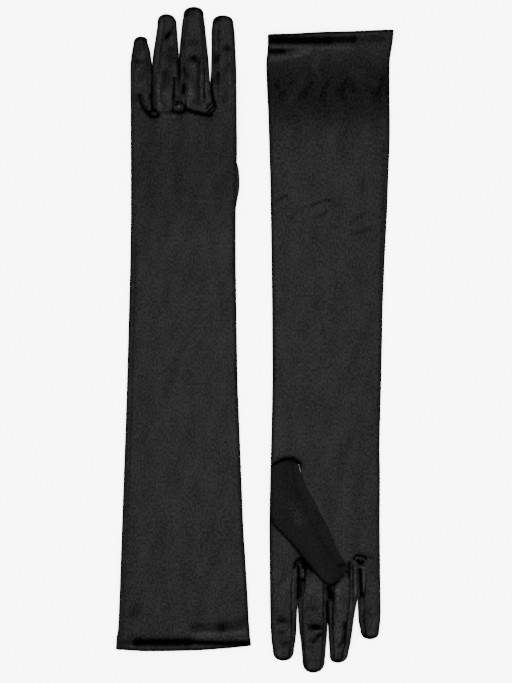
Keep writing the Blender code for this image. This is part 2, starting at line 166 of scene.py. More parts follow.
RIGHT_FOLDS = (
    # hem
    (3.5, -1.1, 0.95, 54, 7.8, 30, 7.6, 2, 7.4), (2.9, -0.7, 0.78, 2, 7.2, -12, 6.6, -20, 6.2),
    (3.2, -0.3, 0.45, -22, 6.6, -46, 5), (1.8, 0.3, -0.22, 53, 13, 20, 13.4, -20, 13.4),
    (2.3, -0.8, 0.85, 55, 17.5, 43, 17.5), (1.4, -0.3, 0.35, 43, 17, 32, 15.2),
    (2.4, 0.35, -0.25, 54, 24.5, 36, 21.5, 20, 17), (29, 0, 0.5, 45, 53, -45, 52),
    (3.4, 0.1, -0.07, 38, 63, 12, 25), (2.2, 0.1, -0.1, 8, 41, 16, 29),
    (3.2, 0.1, -0.1, -22, 35, -40, 45),
    # sleeve
    (1.1, -0.3, 0.4, 49.5, 154, 45, 151, 41, 148, 39, 147), (1.1, -0.2, 0.16, 39, 147, 35.5, 151),
    (1, -0.35, 0.44, 16.5, 156, 10, 153, 4, 151, 0, 150.3),
    (1.1, -0.2, 0.22, 0, 150.3, -4, 153.3, -9, 155.5),
    (1.1, -0.2, 0.27, 33, 167, 31, 163, 27, 160, 23, 158, 18, 155.5),
    (1.1, -0.25, 0.33, 16, 167.5, 10, 165.5, 5, 163, 1, 160),
    (1.6, -0.2, 0.2, -46, 165, -36, 162, -27, 165, -20, 170),
    (1.2, -0.25, 0.32, -20, 180, -27, 179.5, -33, 177.5, -41, 174.5),
    (1.4, -0.2, 0.18, -2, 173, -12, 176), (0.9, -0.15, 0.24, -8, 221, -6.8, 229, -5, 238),
    (1.2, -0.15, 0.16, -31, 128, -30, 142), (1, -0.15, 0.22, 5, 262, 3, 274),
    (1.3, -0.1, 0.3, -48.5, 100, -47.6, 165, -46, 235),
    # beside the thumb: painted shadow along its lower edge, round its tip and along its base, and a painted
    # highlight along its other edge
    (1.2, -0.5, 0.3, 51, 438.5, 46, 444.6, 40, 450.2, 30, 460.2, 20, 472.2, 10, 483.6, 4, 490.8),
    (1.1, -0.6, 0.85, 2, 491.5, -1, 494.6, -4, 496.3, -9, 494, -14, 489.5, -17.8, 484),
    (2, -0.8, 0.97, 49.5, 391, 45, 387.2, 39, 383.9, 34, 383.2, 28, 384.6, 24.2, 388.5),
    (0.8, 0.3, -0.2, 14.2, 411, 5.6, 428, -3.8, 446),
    # index finger and middle finger
    (2.6, -0.5, 0.85, 19.5, 475, 12, 483.5), (2, -0.5, 0.7, 22.5, 474.5, 19.5, 480),
    (1.5, 0.5, -0.25, 17, 490, 15, 505), (1.2, -0.8, 0.85, 28.5, 481, 27, 476, 23.5, 472.3, 19.5, 472.5),
    (1.1, -0.9, 0.9, 24.8, 479, 24.6, 490, 25, 508), (2, -1.1, 0.95, 23.2, 491.5, 19.8, 492),
    (1.4, -0.8, 0.8, 19, 478, 19, 488), (1.2, 0.6, -0.6, 21, 483.5, 20.3, 487),
    (0.8, 0.4, -0.6, 22.6, 476.5, 23, 478), (1.5, -0.8, 0.7, 22.5, 495, 22.7, 506),
    (2.9, -0.7, 0.6, 41.5, 528.3, 36, 528), (2.2, -0.4, 0.48, 39.5, 538.5, 36, 538.5),
    (3, -0.5, 0.52, 38, 549, 35.5, 549.5), (3.2, -1.4, 1, 12.6, 533.4, 6.6, 534),
    (2, -1, 0.88, 11, 546.5, 8, 543, 5.5, 540.5), (1, 0.4, -0.25, 10, 538.3, 4, 536.7),
    (2.7, -0.4, 0.45, 12.5, 517, 8.5, 517), (2.2, -0.3, 0.3, 15.5, 563, 16.5, 567),
    (1, 0.4, -0.25, 5, 487, 4.6, 498),
    # middle finger and ring finger
    (2.6, -1.2, 0.96, -2.2, 499, -4.2, 503, -4.4, 507), (1.3, -0.9, 0.9, -1.3, 511, -1.6, 520, -2.2, 530),
    (0.9, -0.4, 0.5, -6.6, 510, -6.6, 535), (2, 0.6, -0.26, -10.5, 500, -12, 520, -12.5, 545),
    (1.6, -0.8, 0.7, -17.6, 530, -17, 540, -14.5, 547.5, -12.5, 551),
    (1.5, -0.4, 0.8, -12.5, 563.6, -10.5, 563.9), (1.7, -0.8, 0.75, -20.8, 476, -20.8, 488),
    # fingertips: painted shade round their rims
    (1.2, -0.4, 0.75, 44.5, 560.3, 42, 562, 38, 563, 32.5, 562),
    (1.2, -0.4, 0.75, 17.5, 569, 15, 572, 10, 573.3, 4.5, 572),
    (1.2, -0.4, 0.75, -35.5, 540.7, -38, 542.3, -42.5, 542.5, -46, 540.8),
    # ring finger and little finger
    (1, 0.6, -0.5, -26.3, 476, -27, 490, -27.3, 503), (0.8, -0.5, 0.7, -24.3, 478, -24.5, 510),
    (1.2, -0.9, 0.9, -25, 472.5, -27, 470, -30, 469.2, -34, 470, -36, 472),
    (1.7, -1, 0.95, -28.6, 473.5, -31, 476.5, -33, 475), (0.8, 0.5, -0.9, -27.3, 471.2, -27.9, 472.3),
    (0.8, 0.4, -0.6, -29, 479.8, -33, 480), (1.5, -1.1, 0.95, -30.6, 482, -31.2, 492, -32, 504),
    (0.9, 0.4, -0.3, -34, 481, -34.2, 500), (1.6, -0.7, 0.7, -33, 504, -31, 507),
    (1.6, -0.3, 0.38, -37, 469.5, -42, 472),
)
FOLDS = {"left": LEFT_FOLDS, "right": RIGHT_FOLDS}

# How far each finger's seams lie inside its edges on the upper side, in mm: little finger side and
# index side, each at the finger's start and near its tip (the hand's own edges have no seam)
SEAM_INSETS = {
    "left": {"pinky": ((5.0, 4.0), (4.6, 4.0)), "ring": ((7.0, 6.0), (4.6, 3.4)),
             "middle": ((5.4, 3.8), (5.2, 3.4)), "index": ((7.8, 6.4), (5.0, 4.0))},
    "right": {"pinky": ((5.0, 4.0), (7.0, 4.6)), "ring": ((7.6, 5.2), (4.2, 3.8)),
              "middle": ((5.4, 3.4), (5.4, 2.4)), "index": ((6.8, 4.0), (5.0, 4.0))},
}
# How deep the finger seams sink, and how dark their grooves are painted: painted shade
SEAM_DEPTH = {"left": 0.26 * MM, "right": 0.36 * MM}
PAINTED_SEAM_SHADE = {"left": 0.50, "right": 0.80}

# Heights of the cloth layers, and how far in from an outline they round over
FLOOR_GAP = 0.25 * MM
EDGE_THICKNESS = 3.8 * MM
EDGE_SLOPE = 2.7 * MM
MIDDLE_THICKNESS = 4.8 * MM
CROWN_RUN = 15 * MM
FINGER_HALF_HEIGHT = 3.7 * MM
FINGER_SLOPE = 4.4 * MM
CROTCH_PINCH = 0.9 * MM
CLOTH = 0.45 * MM

# A finger's section (2 is an ellipse, more is squarer), the smoothing of its edges, the lengths in
# which it grows round and overlaps the trank, and a length along it from its hinge
FINGER_SECTION = 3.6
EDGE_SOFTNESS = 3.4 * MM
FINGER_GROWTH = 24 * MM
BASE_OVERLAP = 5 * MM
FINGER_BEND = 20 * MM

# The thumb's outline in mm, from its base to its slanting tip: u, v at its outer fold and at its seam
THUMB_OUTLINE = (
    (36, 384.8, 33.6, 384.8), (40.5, 385.6, 29, 385.9), (45, 387.9, 25.6, 388.4),
    (48.6, 390, 23.6, 391), (50.2, 394.5, 22.6, 395.5), (50.7, 403, 20.4, 403.5),
    (50.8, 414, 15.6, 413), (50.8, 425, 10.6, 422), (50.5, 434.5, 6.6, 430),
    (48.7, 440.8, 3.4, 436), (43.4, 446.5, 0.4, 441.5), (37.5, 452.5, -2.6, 447.5),
    (31.5, 459, -5.4, 453.5), (23.5, 468.7, -8.6, 461), (15.4, 478.4, -12, 467.5),
    (8.7, 486.5, -15.2, 472.5), (4, 491.4, -17.3, 476.3), (0.6, 493.9, -18, 479.3),
    (-2.6, 494.9, -17.4, 482.4), (-4.8, 494.9, -15.6, 485.7), (-7.6, 493.2, -12.8, 489.2),
    (-9.6, 491.8, -10.8, 490.8),
)
# The left glove's thumb lies under its palm, and its outer fold shows past the hand's edge
THUMB_PAST_EDGE = {
    2: (41.5, 388), 3: (44.4, 390.2), 4: (46.6, 394), 5: (48.6, 404), 6: (50.3, 414),
    7: (50.2, 426), 8: (48.8, 434.5), 9: (46, 440),
}
THUMB_THICKNESS = {"left": 2.6 * MM, "right": 3.8 * MM}
THUMB_SEAM_SHARE = 0.26
BELOW_THUMB = 340 * MM

# Degrees at which room is made for the left thumb's swing, and its gap to the cloth above
SWING_STEPS = (7, 14, 21, 28, 34, 40, 45)
SWING_GAP = 0.15 * MM

# Mesh density: columns across, closer at the trank's edges, and closer rows round a fingertip
TRANK_COLUMNS = 84
LOW_EDGE_SHARES = (0.0, 0.0006, 0.0022, 0.005, 0.009, 0.014, 0.021)
HIGH_EDGE_SHARES = (0.979, 0.986, 0.991, 0.995, 0.9978, 0.9994, 1.0)
FINGER_COLUMNS = 34
TIP_ANGLES = (0, 9, 18, 27, 36, 44, 52, 59, 65, 71, 76, 81, 86)
THUMB_COLUMNS = 46

# The turned hem, its stitches, and the pale rods at the right thumb's base that stand in for a small white
# glint there, a painted highlight: (u, v) in mm
HEM_TURN = 15 * MM
HEM_STITCHES = 13 * MM
STITCH_PITCH = 2.8 * MM
STITCH_LENGTH = 1.7 * MM
STITCH_RADIUS = 0.2 * MM
STITCH_SIDES = 6
STITCH_PROFILE = ((-0.5, 0.25), (-0.36, 0.85), (0.0, 1.0), (0.36, 0.85), (0.5, 0.25))
PAINTED_GLINT_LINE = ((25.3, 388.0), (23.6, 394.5))
PAINTED_GLINT_LENGTH = 2.9 * MM
PAINTED_GLINT_RADIUS = 0.16 * MM

# Tone: how much a painted highlight lightens a ridge, how dark the painted shade at outlines and tips is
# and how far in it reaches, and the tone below which a face gets the dull, painted-shade satin
PAINTED_RIDGE_HIGHLIGHT = 2.6
PAINTED_RIM_SHADE = 0.96
PAINTED_TIP_SHADE = 0.98
TRANK_RIM = 1.4 * MM
HEM_RIM = 2.1 * MM
HAND_RIM = 1.5 * MM
FINGER_RIM = 1.6 * MM
TIP_RIM = 3.3 * MM
PAINTED_SHADE_TONE = 0.5

# Materials: name, the weave's dark and light grey, gloss, roughness and grain; the painted-shade satin is a
# dull copy of the shell's, for faces of dark painted tone
MATERIALS = {
    "shell": ("black_satin", 0.0007, 0.0030, 0.0067, 0.36, 0.34),
    "painted_shade": ("black_satin_painted_shade", 0.0007, 0.0030, 0.0006, 0.6, 0.30),
    "fourchette": ("black_satin_fourchette", 0.0009, 0.0036, 0.0076, 0.34, 0.34),
    "thumb": ("black_satin_thumb", 0.0004, 0.0015, 0.0040, 0.42, 0.28),
    "hem": ("black_satin_inside", 0.0008, 0.0020, 0.0040, 0.55, 0.30),
    "thread": ("black_thread", 0.0012, 0.0030, 0.0080, 0.40, 0.10),
    # Its pale grey stands in for a white glint: a painted highlight
    "painted_glint": ("painted_glint", 0.035, 0.055, 0.05, 0.5, 0.10),
}
GRAIN_HEIGHT = 0.2 * MM

# Floor, light and camera
FLOOR_COLOUR = (0.92, 0.92, 0.92, 1.0)
SURROUND_STRENGTH = 5.0
LAMP_WATTS = 250.0
LENS = 85.0
VIEW_HEIGHT = 614.7 * MM

# Distances taken as endless, as none, and as the same place
FAR_AWAY = 1.0
NO_LENGTH = 1e-7
SAME_PLACE = 2e-6


def filled(u, v, value=0.0):
    """One value at each of the points u, v."""
    return np.full(np.broadcast(u, v).shape, value)


def smooth(t):
    """0 up to 0, 1 from 1 on, and an S-curve between them."""
    t = np.clip(t, 0.0, 1.0)
    return t * t * (3 - 2 * t)


def bump(distance, width):
    """1 on a line, falling to nearly 0 at twice the width from it."""
    return np.exp(-((distance / width) ** 2))


def rounded(distance, run):
    """0 at an edge, rising evenly and then levelling off to 1 after a run."""
    return 1 - (1 - np.clip(distance / run, 0.0, 1.0)) ** 1.5


def running_total(steps):
    """How far along each point lies, from the steps between the points."""
    return np.concatenate([[0.0], np.cumsum(steps)])


def fractions_across(count, section):
    """Shares of a width from 0 to 1, spaced evenly round a superellipse's upper half."""
    cosine = np.cos(np.linspace(math.pi, 0.0, count + 1))
    return 0.5 + 0.5 * np.sign(cosine) * np.abs(cosine) ** (2 / section)


def distance_to_segment(u, v, start, end):
    """Distance to the straight line between two points."""
    du, dv = end - start
    from_u, from_v = u - start[0], v - start[1]
    along = np.clip((from_u * du + from_v * dv) / (du * du + dv * dv), 0.0, 1.0)
    return np.hypot(from_u - along * du, from_v - along * dv)


def distance_to_line(u, v, points):
    """Distance to a line through points given in mm."""
    points = np.array(points, float) * MM
    nearest = filled(u, v, FAR_AWAY)
    for start, end in zip(points, points[1:]):
        nearest = np.minimum(nearest, distance_to_segment(u, v, start, end))
    return nearest


def soft_line(stations, closeness):
    """More points on a smooth curve through a few."""
    points = np.array(stations, float)
    if len(points) < 3:
        return points
    fine = np.linspace(0, len(points) - 1, closeness * (len(points) - 1) + 1)
    tangents = np.gradient(points, axis=0)
    low = np.minimum(fine.astype(int), len(points) - 2)
    t = (fine - low)[:, None]
    return ((2 * t**3 - 3 * t**2 + 1) * points[low] + (t**3 - 2 * t**2 + t) * tangents[low]
            + (-2 * t**3 + 3 * t**2) * points[low + 1] + (t**3 - t**2) * tangents[low + 1])


def curve_through(stations, column, at, soften=5 * MM):
    """A smooth curve through one column of a table in mm, read at the given lengths."""
    table = np.array(stations, float) * MM
    fine = np.arange(table[0, 0] - 4 * soften, table[-1, 0] + 4 * soften, MM)
    known = np.interp(fine, table[:, 0], table[:, column])
    first, last = table[:2], table[-2:]
    for (a, b), outside in ((first, fine < table[0, 0]), (last[::-1], fine > table[-1, 0])):
        slope = (b[column] - a[column]) / (b[0] - a[0])
        known[outside] = a[column] + slope * (fine[outside] - a[0])
    kernel = np.exp(-((np.arange(-3, 3.01, MM / soften)) ** 2))
    half = len(kernel) // 2
    padded = np.pad(known, half, mode="reflect", reflect_type="odd")
    soft = np.convolve(padded, kernel / kernel.sum(), mode="valid")[: len(fine)]
    return np.interp(at, fine, soft)


def ripples(x, y, wavelength, direction, spread, seed, count=14):
    """Smooth random waves, about -1 to 1, of a wavelength in mm, whose crests run near
    one direction (degrees)."""
    rng = np.random.default_rng(seed)
    total = filled(x, y)
    for _ in range(count):
        angle = math.radians(direction + 90 + rng.normal(0, spread))
        rate = 2 * math.pi / (wavelength * MM * rng.uniform(0.6, 1.7))
        total += np.sin(rate * (x * math.cos(angle) + y * math.sin(angle)) + rng.uniform(0, 2 * math.pi))
    return total / math.sqrt(count / 2) / 1.6


class Glove:
    """One glove's frame and outline."""

    def __init__(self, side):
        self.side = side
        self.palm_up = side == "right"
        joints = {j["name"]: j for j in frame["joints"]}
        axis = next(j["axis"] for n, j in joints.items() if n.startswith(side + "_index"))
        across = np.array([axis[0], axis[1], 0.0])
        self.across = across / np.linalg.norm(across)
        self.along = np.array([-self.across[1], self.across[0], 0.0])
        hinge = np.array(joints[side + "_thumb_swing"]["pos_m"], float) * (1, 1, 0)
        self.hem = hinge - self.across * THUMB_HINGE[0] - self.along * THUMB_HINGE[1]
        self.seed = 11 if self.palm_up else 47
        self.crotches = [c * MM for c in CROTCHES[side]]

    def edges(self, v):
        """The trank's little finger edge and index edge at length v."""
        table = TRANK_EDGES[self.side]
        return curve_through(table, 1, v), curve_through(table, 2, v)

    def world(self, points):
        """Points of the glove's own coordinates in the shared frame."""
        points = np.asarray(points, float)
        return (self.hem + points[..., :1] * self.across + points[..., 1:2] * self.along
                + points[..., 2:] * np.array([0.0, 0.0, 1.0]))

    def hinge_length(self, finger):
        """How far along the glove a finger's hinge line lies."""
        joint = next(j for j in frame["joints"] if j["name"].startswith(f"{self.side}_{finger}_"))
        return float((np.array(joint["pos_m"], float) - self.hem) @ self.along)

    def knuckle_spans(self):
        """Where each finger starts and ends across the knuckles."""
        low, high = (float(e) for e in self.edges(KNUCKLE))
        stops = [low, *self.crotches, high]
        return list(zip(stops, stops[1:]))


def thumb_outline(glove):
    """Curves through the two sides of the thumb's outline: rows of (fold side u, v, seam side u, v)."""
    outline = np.array(THUMB_OUTLINE)
    if not glove.palm_up:
        for place, point in THUMB_PAST_EDGE.items():
            outline[place, :2] = point
    return soft_line(outline, 5) * MM


def distance_from_thumb(glove, u, v):
    """How far a point is outside the thumb's outline; 0 inside."""
    outline = thumb_outline(glove)
    ring = np.concatenate([outline[:, :2], outline[::-1, 2:]])
    apart = filled(u, v, FAR_AWAY)
    inside = np.zeros(apart.shape, bool)
    for start, end in zip(ring, np.roll(ring, -1, axis=0)):
        du, dv = end - start
        if abs(du) + abs(dv) < NO_LENGTH:
            continue
        apart = np.minimum(apart, distance_to_segment(u, v, start, end))
        if abs(dv) > NO_LENGTH / 100:
            crosses = ((start[1] > v) != (end[1] > v)) & (u < start[0] + (v - start[1]) * du / dv)
            inside = inside ^ crosses
    return np.where(inside, 0.0, apart)


def thumb_lift(glove, u, v, reach):
    """How far the cloth over the folded-under thumb stands off the table."""
    if glove.palm_up or np.max(v) < BELOW_THUMB:
        return filled(u, v)
    return THUMB_THICKNESS["left"] * smooth(1 - distance_from_thumb(glove, u, v) / reach)


def swing_room(glove, u, v):
    """How far the lower cloth stands off the table where the folded-under thumb swings."""
    if glove.palm_up or np.max(v) < BELOW_THUMB:
        return filled(u, v)
    du, dv = u - THUMB_HINGE[0], v - THUMB_HINGE[1]
    nearest = distance_from_thumb(glove, u, v)
    for angle in np.radians(SWING_STEPS):
        back_u = THUMB_HINGE[0] + du * math.cos(angle) - dv * math.sin(angle)
        back_v = THUMB_HINGE[1] + du * math.sin(angle) + dv * math.cos(angle)
        nearest = np.minimum(nearest, distance_from_thumb(glove, back_u, back_v))
    return (THUMB_THICKNESS["left"] + SWING_GAP) * smooth(1.25 - nearest / (15 * MM))


def pinch(glove, u, v):
    """1 at a crotch between two fingers, falling to 0 around it."""
    total = filled(u, v)
    for crotch in glove.crotches:
        total = np.maximum(total, bump(u - crotch, 1.8 * MM) * bump(np.minimum(v - KNUCKLE, 0), 6 * MM))
    return total


def folds_at(glove, u, v):
    """The height of the creases, ridges and puckered crotches, and the satin's tone there: painted shade in
    the creases and crotches, and painted highlights on the ridges.
    """
    relief = filled(u, v)
    tone = filled(u, v, 1.0)
    for width, size, shade, *points in FOLDS[glove.side]:
        start, end = min(points[1::2]) - 3 * width, max(points[1::2]) + 3 * width
        if end * MM < np.min(v) or start * MM > np.max(v):
            continue
        distance = distance_to_line(u, v, soft_line(np.reshape(points, (-1, 2)), 4))
        relief += size * MM * bump(distance, width * MM)
        # A positive shade paints shade along the line; a negative one paints a highlight there, made
        # stronger
        strength = shade if shade > 0 else PAINTED_RIDGE_HIGHLIGHT * shade
        tone *= 1 - strength * np.exp(-((distance / (1.1 * width * MM)) ** 3))
    for number, crotch in enumerate(glove.crotches):
        du, dv = u - crotch, v - (KNUCKLE - 2 * MM)
        near = bump(np.hypot(du, dv * 0.8), 5.0 * MM)
        ribs = np.sin(7 * np.arctan2(dv, du) + number + 2.5 * ripples(u, v, 6, 20, 60, 90 + number, 8))
        relief += near * (0.30 * MM * ribs + 0.22 * MM * ripples(u, v, 3.2, 0, 90, 70 + number, 10))
        # Painted shade in the puckers round a crotch, lighter on their ribs
        tone *= 1 - near * np.clip(0.22 - 0.30 * ribs, -0.2, 0.6)
    return relief, tone


def cloth_waves(glove, u, v):
    """Broad unevenness and fine wrinkles of cloth that lies flat."""
    seed = glove.seed
    broad = 0.22 * MM * ripples(u, v, 95, 80, 35, seed)
    fine = ripples(u, v, 8, 75, 45, seed + 1, 30)
    wrinkled = smooth(0.4 + 0.9 * ripples(u, v, 90, 0, 90, seed + 2))
    crumple = ripples(u, v, 3.4, 0, 90, seed + 4, 40)
    return broad + 0.030 * MM * fine * (0.3 + 0.7 * wrinkled) + 0.012 * MM * crumple


def crown(edge, middle):
    """How much thicker the pressed layers are than at their edges."""
    return (middle - EDGE_THICKNESS) * (1 - np.exp(-edge / CROWN_RUN))


def trank_surface(glove, u, v, low, high):
    """The unevenness of the trank's upper sheet and its tone, with the painted shade and highlights of its
    folds, apart from the painted shade at its rims.
    """
    creases, tone = folds_at(glove, u, v)
    inside = smooth((u - low) / (8 * MM)) * smooth((high - u) / (8 * MM))
    relief = cloth_waves(glove, u, v) * (0.2 + 0.8 * inside) + creases
    tone = tone * (1 + 0.05 * ripples(u, v, 17, 74, 14, glove.seed + 7, 20))
    if not glove.palm_up:
        # The long seam sinks in beside the little finger's edge, and its groove is painted darker: painted
        # shade
        present = 1 - smooth((v - 330 * MM) / (90 * MM))
        seam = bump(u - low - 4.6 * MM, 0.75 * MM) * present
        relief = relief - 0.30 * MM * seam + 0.12 * MM * bump(u - low - 2.4 * MM, 1.3 * MM) * present
        tone = tone * (1 - 0.45 * seam)
    return relief, tone


def trank_painted_rim_shade(glove, u, v):
    """How dark the painted shade along the trank's rims is: less so where the left thumb shows past the
    hand.
    """
    if glove.palm_up:
        return PAINTED_RIM_SHADE
    over_thumb = smooth((v - 398 * MM) / (8 * MM)) * smooth((437 * MM - v) / (6 * MM)) * (u > 0)
    return PAINTED_RIM_SHADE - 0.55 * over_thumb


def trank_heights(glove, u, v, low, high, inset=0.0):
    """Heights of the trank's upper and lower sheets, and the upper one's tone."""
    edge = np.maximum(np.minimum(u - low, high - u), 0)
    turn = rounded(edge, EDGE_SLOPE)
    middle = MIDDLE_THICKNESS + 0.5 * MM * smooth((v - 380 * MM) / (100 * MM))
    if glove.palm_up:
        middle = middle - 0.8 * MM * smooth(1 - distance_from_thumb(glove, u, v) / (30 * MM))
    relief, tone = trank_surface(glove, u, v, low, high)
    # Painted shade along the rims, where the cloth turns down away from the light
    tone = tone * (1 - trank_painted_rim_shade(glove, u, v) * bump(edge, TRANK_RIM))
    centre = FLOOR_GAP + EDGE_THICKNESS / 2
    top = centre + EDGE_THICKNESS / 2 * turn + crown(edge, middle) + relief * turn
    bottom = centre - EDGE_THICKNESS / 2 * turn + swing_room(glove, u, v)
    top = top + thumb_lift(glove, u, v, 95 * MM) * (0.35 + 0.65 * turn)
    top = np.maximum(top, bottom + 3.0 * CLOTH * turn)
    close = pinch(glove, u, v)
    half_way = (top + bottom) / 2
    top = top + (half_way + CROTCH_PINCH / 2 - top) * close
    bottom = bottom + (half_way - CROTCH_PINCH / 2 - bottom) * close
    return top - inset * turn, bottom + inset * turn, tone


def closed_loops(u, v, top, bottom, tone):
    """Rows of points joined into loops, over the upper cloth and back under it, and their tones."""
    upper = np.stack([u, v, top, tone], axis=2)
    lower = np.stack([u, v, bottom, np.ones(u.shape)], axis=2)
    loops = np.concatenate([upper, lower[:, -2:0:-1]], axis=1)
    return loops[..., :3], loops[..., 3]


def trank_points(glove, rows):
    """The trank's loops and their tones, for rows of (v, inset)."""
    rows = np.array(rows)
    v, inset = rows[:, :1], rows[:, 1:]
    low, high = glove.edges(v)
    low, high = low + inset, high - inset
    even = np.linspace(0.0, 1.0, TRANK_COLUMNS + 1)[3:-3]
    share = np.concatenate([LOW_EDGE_SHARES, even, HIGH_EDGE_SHARES])
    u = low + (high - low) * share[None, :]
    line = np.array(HEM_LINES[glove.side]) * MM
    length = v + np.interp(u, line[:, 0], line[:, 1]) * smooth(1 - v / (70 * MM))
    shape_at = np.clip(length, -4 * MM, KNUCKLE)
    top, bottom, tone = trank_heights(glove, u, shape_at, low, high, inset)
    # Painted shade along the rim of the hem
    tone = tone * (1 - PAINTED_RIM_SHADE * bump(v, HEM_RIM))
    return closed_loops(u, length, top, bottom, tone)


def trank_rows():
    """The trank's rows, from the rim of the turned hem to the knuckles, as (v, inset)."""
    rim = [(0.0, 0.9 * CLOTH), (0.12 * MM, 0.4 * CLOTH), (0.5 * MM, 0.1 * CLOTH)]
    hem = [(v, 0.0) for v in np.arange(1.2 * MM, 30 * MM, 0.9 * MM)]
    sleeve = [(v, 0.0) for v in np.linspace(30.6 * MM, 449 * MM, 210)]
    hand = [(v, 0.0) for v in np.linspace(449.8 * MM, KNUCKLE, 44)]
    return rim + hem + sleeve + hand


def turning_rows():
    """Rows of the turned-in part of the hem, from its raw edge inside to the rim."""
    inner = [(HEM_TURN - k * 1.5 * MM, 2 * CLOTH) for k in range(10)]
    return inner + [(0.45 * MM, 1.75 * CLOTH), (0.08 * MM, 1.3 * CLOTH), (0.0, 0.9 * CLOTH)]


def seamed_shares(left_seam, right_seam):
    """Each row's shares of a finger's width, with a column on each seam, and those columns."""
    even = fractions_across(FINGER_COLUMNS, FINGER_SECTION)
    places = [int(np.argmin(np.abs(even - share))) for share in (0.22, 0.78)]
    marks = [0.0, *even[places], 1.0]
    targets = np.concatenate([0 * left_seam, left_seam, right_seam, 0 * left_seam + 1], axis=1)
    return np.array([np.interp(even, marks, row) for row in targets]), places


def finger_rows(glove, name, number):
    """A finger's rows along its length v, and the places u of its points across them."""
    f = SimpleNamespace(name=name, number=number, span=glove.knuckle_spans()[number])
    stations, tip = FINGER_EDGES[glove.side][name]
    rows = [(KNUCKLE / MM, f.span[0] / MM, f.span[1] / MM), *stations]
    f.tip = tip[1] * MM
    last = rows[-1][0] * MM
    reach = f.tip - last
    round_tip = last + reach * np.sin(np.radians(TIP_ANGLES))
    v = np.concatenate([np.arange(KNUCKLE - BASE_OVERLAP, last, 1.0 * MM), round_tip])[:, None]
    past = np.clip((v - last) / reach, 0, 1)
    f.closing = np.sqrt(1 - past**2.5)
    left, right = (curve_through(rows, k, np.clip(v, KNUCKLE, last), EDGE_SOFTNESS) for k in (1, 2))
    f.width = right - left
    middle = (left + right) / 2
    f.middle = middle + (tip[0] * MM - middle) * smooth(past)
    f.half = np.maximum(f.width / 2 * f.closing, 0.25 * MM)

    # The upper seams run a little inside the edges and meet them at the tip
    grown = smooth((v - KNUCKLE) / (last - KNUCKLE))
    seams = [np.clip((a + (b - a) * grown) * MM * f.closing / (2 * f.half), 0.08, 0.42)
             for a, b in SEAM_INSETS[glove.side][name]]
    f.share, f.seam_columns = seamed_shares(seams[0], 1 - seams[1])
    f.x = f.half * (2 * f.share - 1)
    f.edge = f.half - np.abs(f.x)
    f.u, f.v = f.middle + f.x, v + 0 * f.x
    return f


def painted_finger_rims(f):
    """How light the satin is left at a finger's outlines and tip, under the painted shade there."""
    low_side = f.edge if f.number == 0 else FAR_AWAY
    high_side = f.edge if f.number == 3 else FAR_AWAY
    hand_side = np.where(f.u < f.middle, low_side, high_side)
    free = smooth((f.v - KNUCKLE - 25 * MM) / (25 * MM))
    sides = (1 - PAINTED_RIM_SHADE * bump(hand_side, HAND_RIM)) * (1 - PAINTED_RIM_SHADE * free * bump(f.edge, FINGER_RIM))
    return sides * (1 - PAINTED_TIP_SHADE * bump(f.tip - f.v, TIP_RIM))


def finger_surface(glove, f):
    """The unevenness of a finger's upper side and its tone."""
    u, v, seed = f.u, f.v, glove.seed + f.number
    creases, tone = folds_at(glove, u, v)
    slow = 0.26 * MM * ripples(u, v, 22, 80, 45, seed + 30, 12)
    relief = slow + 0.05 * MM * ripples(u, v, 5.5, 70, 40, seed + 40, 16) + creases
    depth = SEAM_DEPTH[glove.side]
    for way, place, outermost in zip((-1, 1), f.seam_columns, ("pinky", "index")):
        if f.name != outermost:
            away = way * (f.x - f.x[:, place:place + 1])
            groove = bump(away, 0.75 * MM) * smooth((v - KNUCKLE - 3 * MM) / (6 * MM))
            relief = relief - depth * groove + 0.5 * depth * bump(away + 1.8 * MM, 1.3 * MM)
            # The seam groove is painted darker: painted shade
            tone = tone * (1 - PAINTED_SEAM_SHADE[glove.side] * groove)
    tone = tone * (1 + 0.22 * ripples(u, v, 11, 85, 40, seed + 50, 16))
    if glove.palm_up:
        tone = tone * (1 + 0.14 * smooth((v - KNUCKLE) / (20 * MM)))
    return relief, tone * painted_finger_rims(f)


def finger_heights(glove, f, relief):
    """Heights of a finger's upper and lower sides, as a round tube pressed flat."""
    height = FINGER_HALF_HEIGHT * (1 - 0.12 * smooth((f.v - KNUCKLE) / (90 * MM)))
    height = np.minimum(height, 0.47 * f.width) * rounded(f.tip - f.v, FINGER_SLOPE)
    height = np.maximum(height, 0.2 * MM)
    arch = rounded(f.edge, np.minimum(FINGER_SLOPE, f.half))
    dome = 0.86 + 0.14 * np.sqrt(1 - (2 * f.share - 1) ** 2 * 0.98)
    lift = thumb_lift(glove, f.u, f.v, 40 * MM)
    room = np.maximum(lift, swing_room(glove, f.u, f.v))
    rest = FLOOR_GAP + 0.86 * height
    upper = rest + height * arch * dome + relief * smooth(f.edge / (2.0 * MM)) * f.closing + lift
    lower = rest - 0.86 * height * arch + room
    return np.maximum(upper, rest + room + 0.25 * height * arch), lower


def finger_points(glove, f):
    """A finger's loops and their tones; it starts with the trank's section and grows round out of it."""
    relief, tone = finger_surface(glove, f)
    upper, lower = finger_heights(glove, f, relief)
    first, end = glove.edges(KNUCKLE)
    low, high = glove.edges(np.minimum(f.v, KNUCKLE))
    across = f.span[0] - first + (f.span[1] - f.span[0]) * f.share
    base_u = low + across * (high - low) / (end - first)
    base_top, base_bottom, _ = trank_heights(glove, base_u, f.v, low, high)
    tuck = 0.07 * MM * (1 - smooth((f.v - KNUCKLE + 1.2 * MM) / (1.2 * MM)))
    grown = smooth((f.v - KNUCKLE) / FINGER_GROWTH)
    u = base_u + (f.u - base_u) * smooth((f.v - KNUCKLE) / (9 * MM))
    upper = base_top - tuck + (upper - base_top + tuck) * grown
    lower = base_bottom + tuck + (lower - base_bottom - tuck) * grown
    return closed_loops(u, f.v, upper, lower, tone)


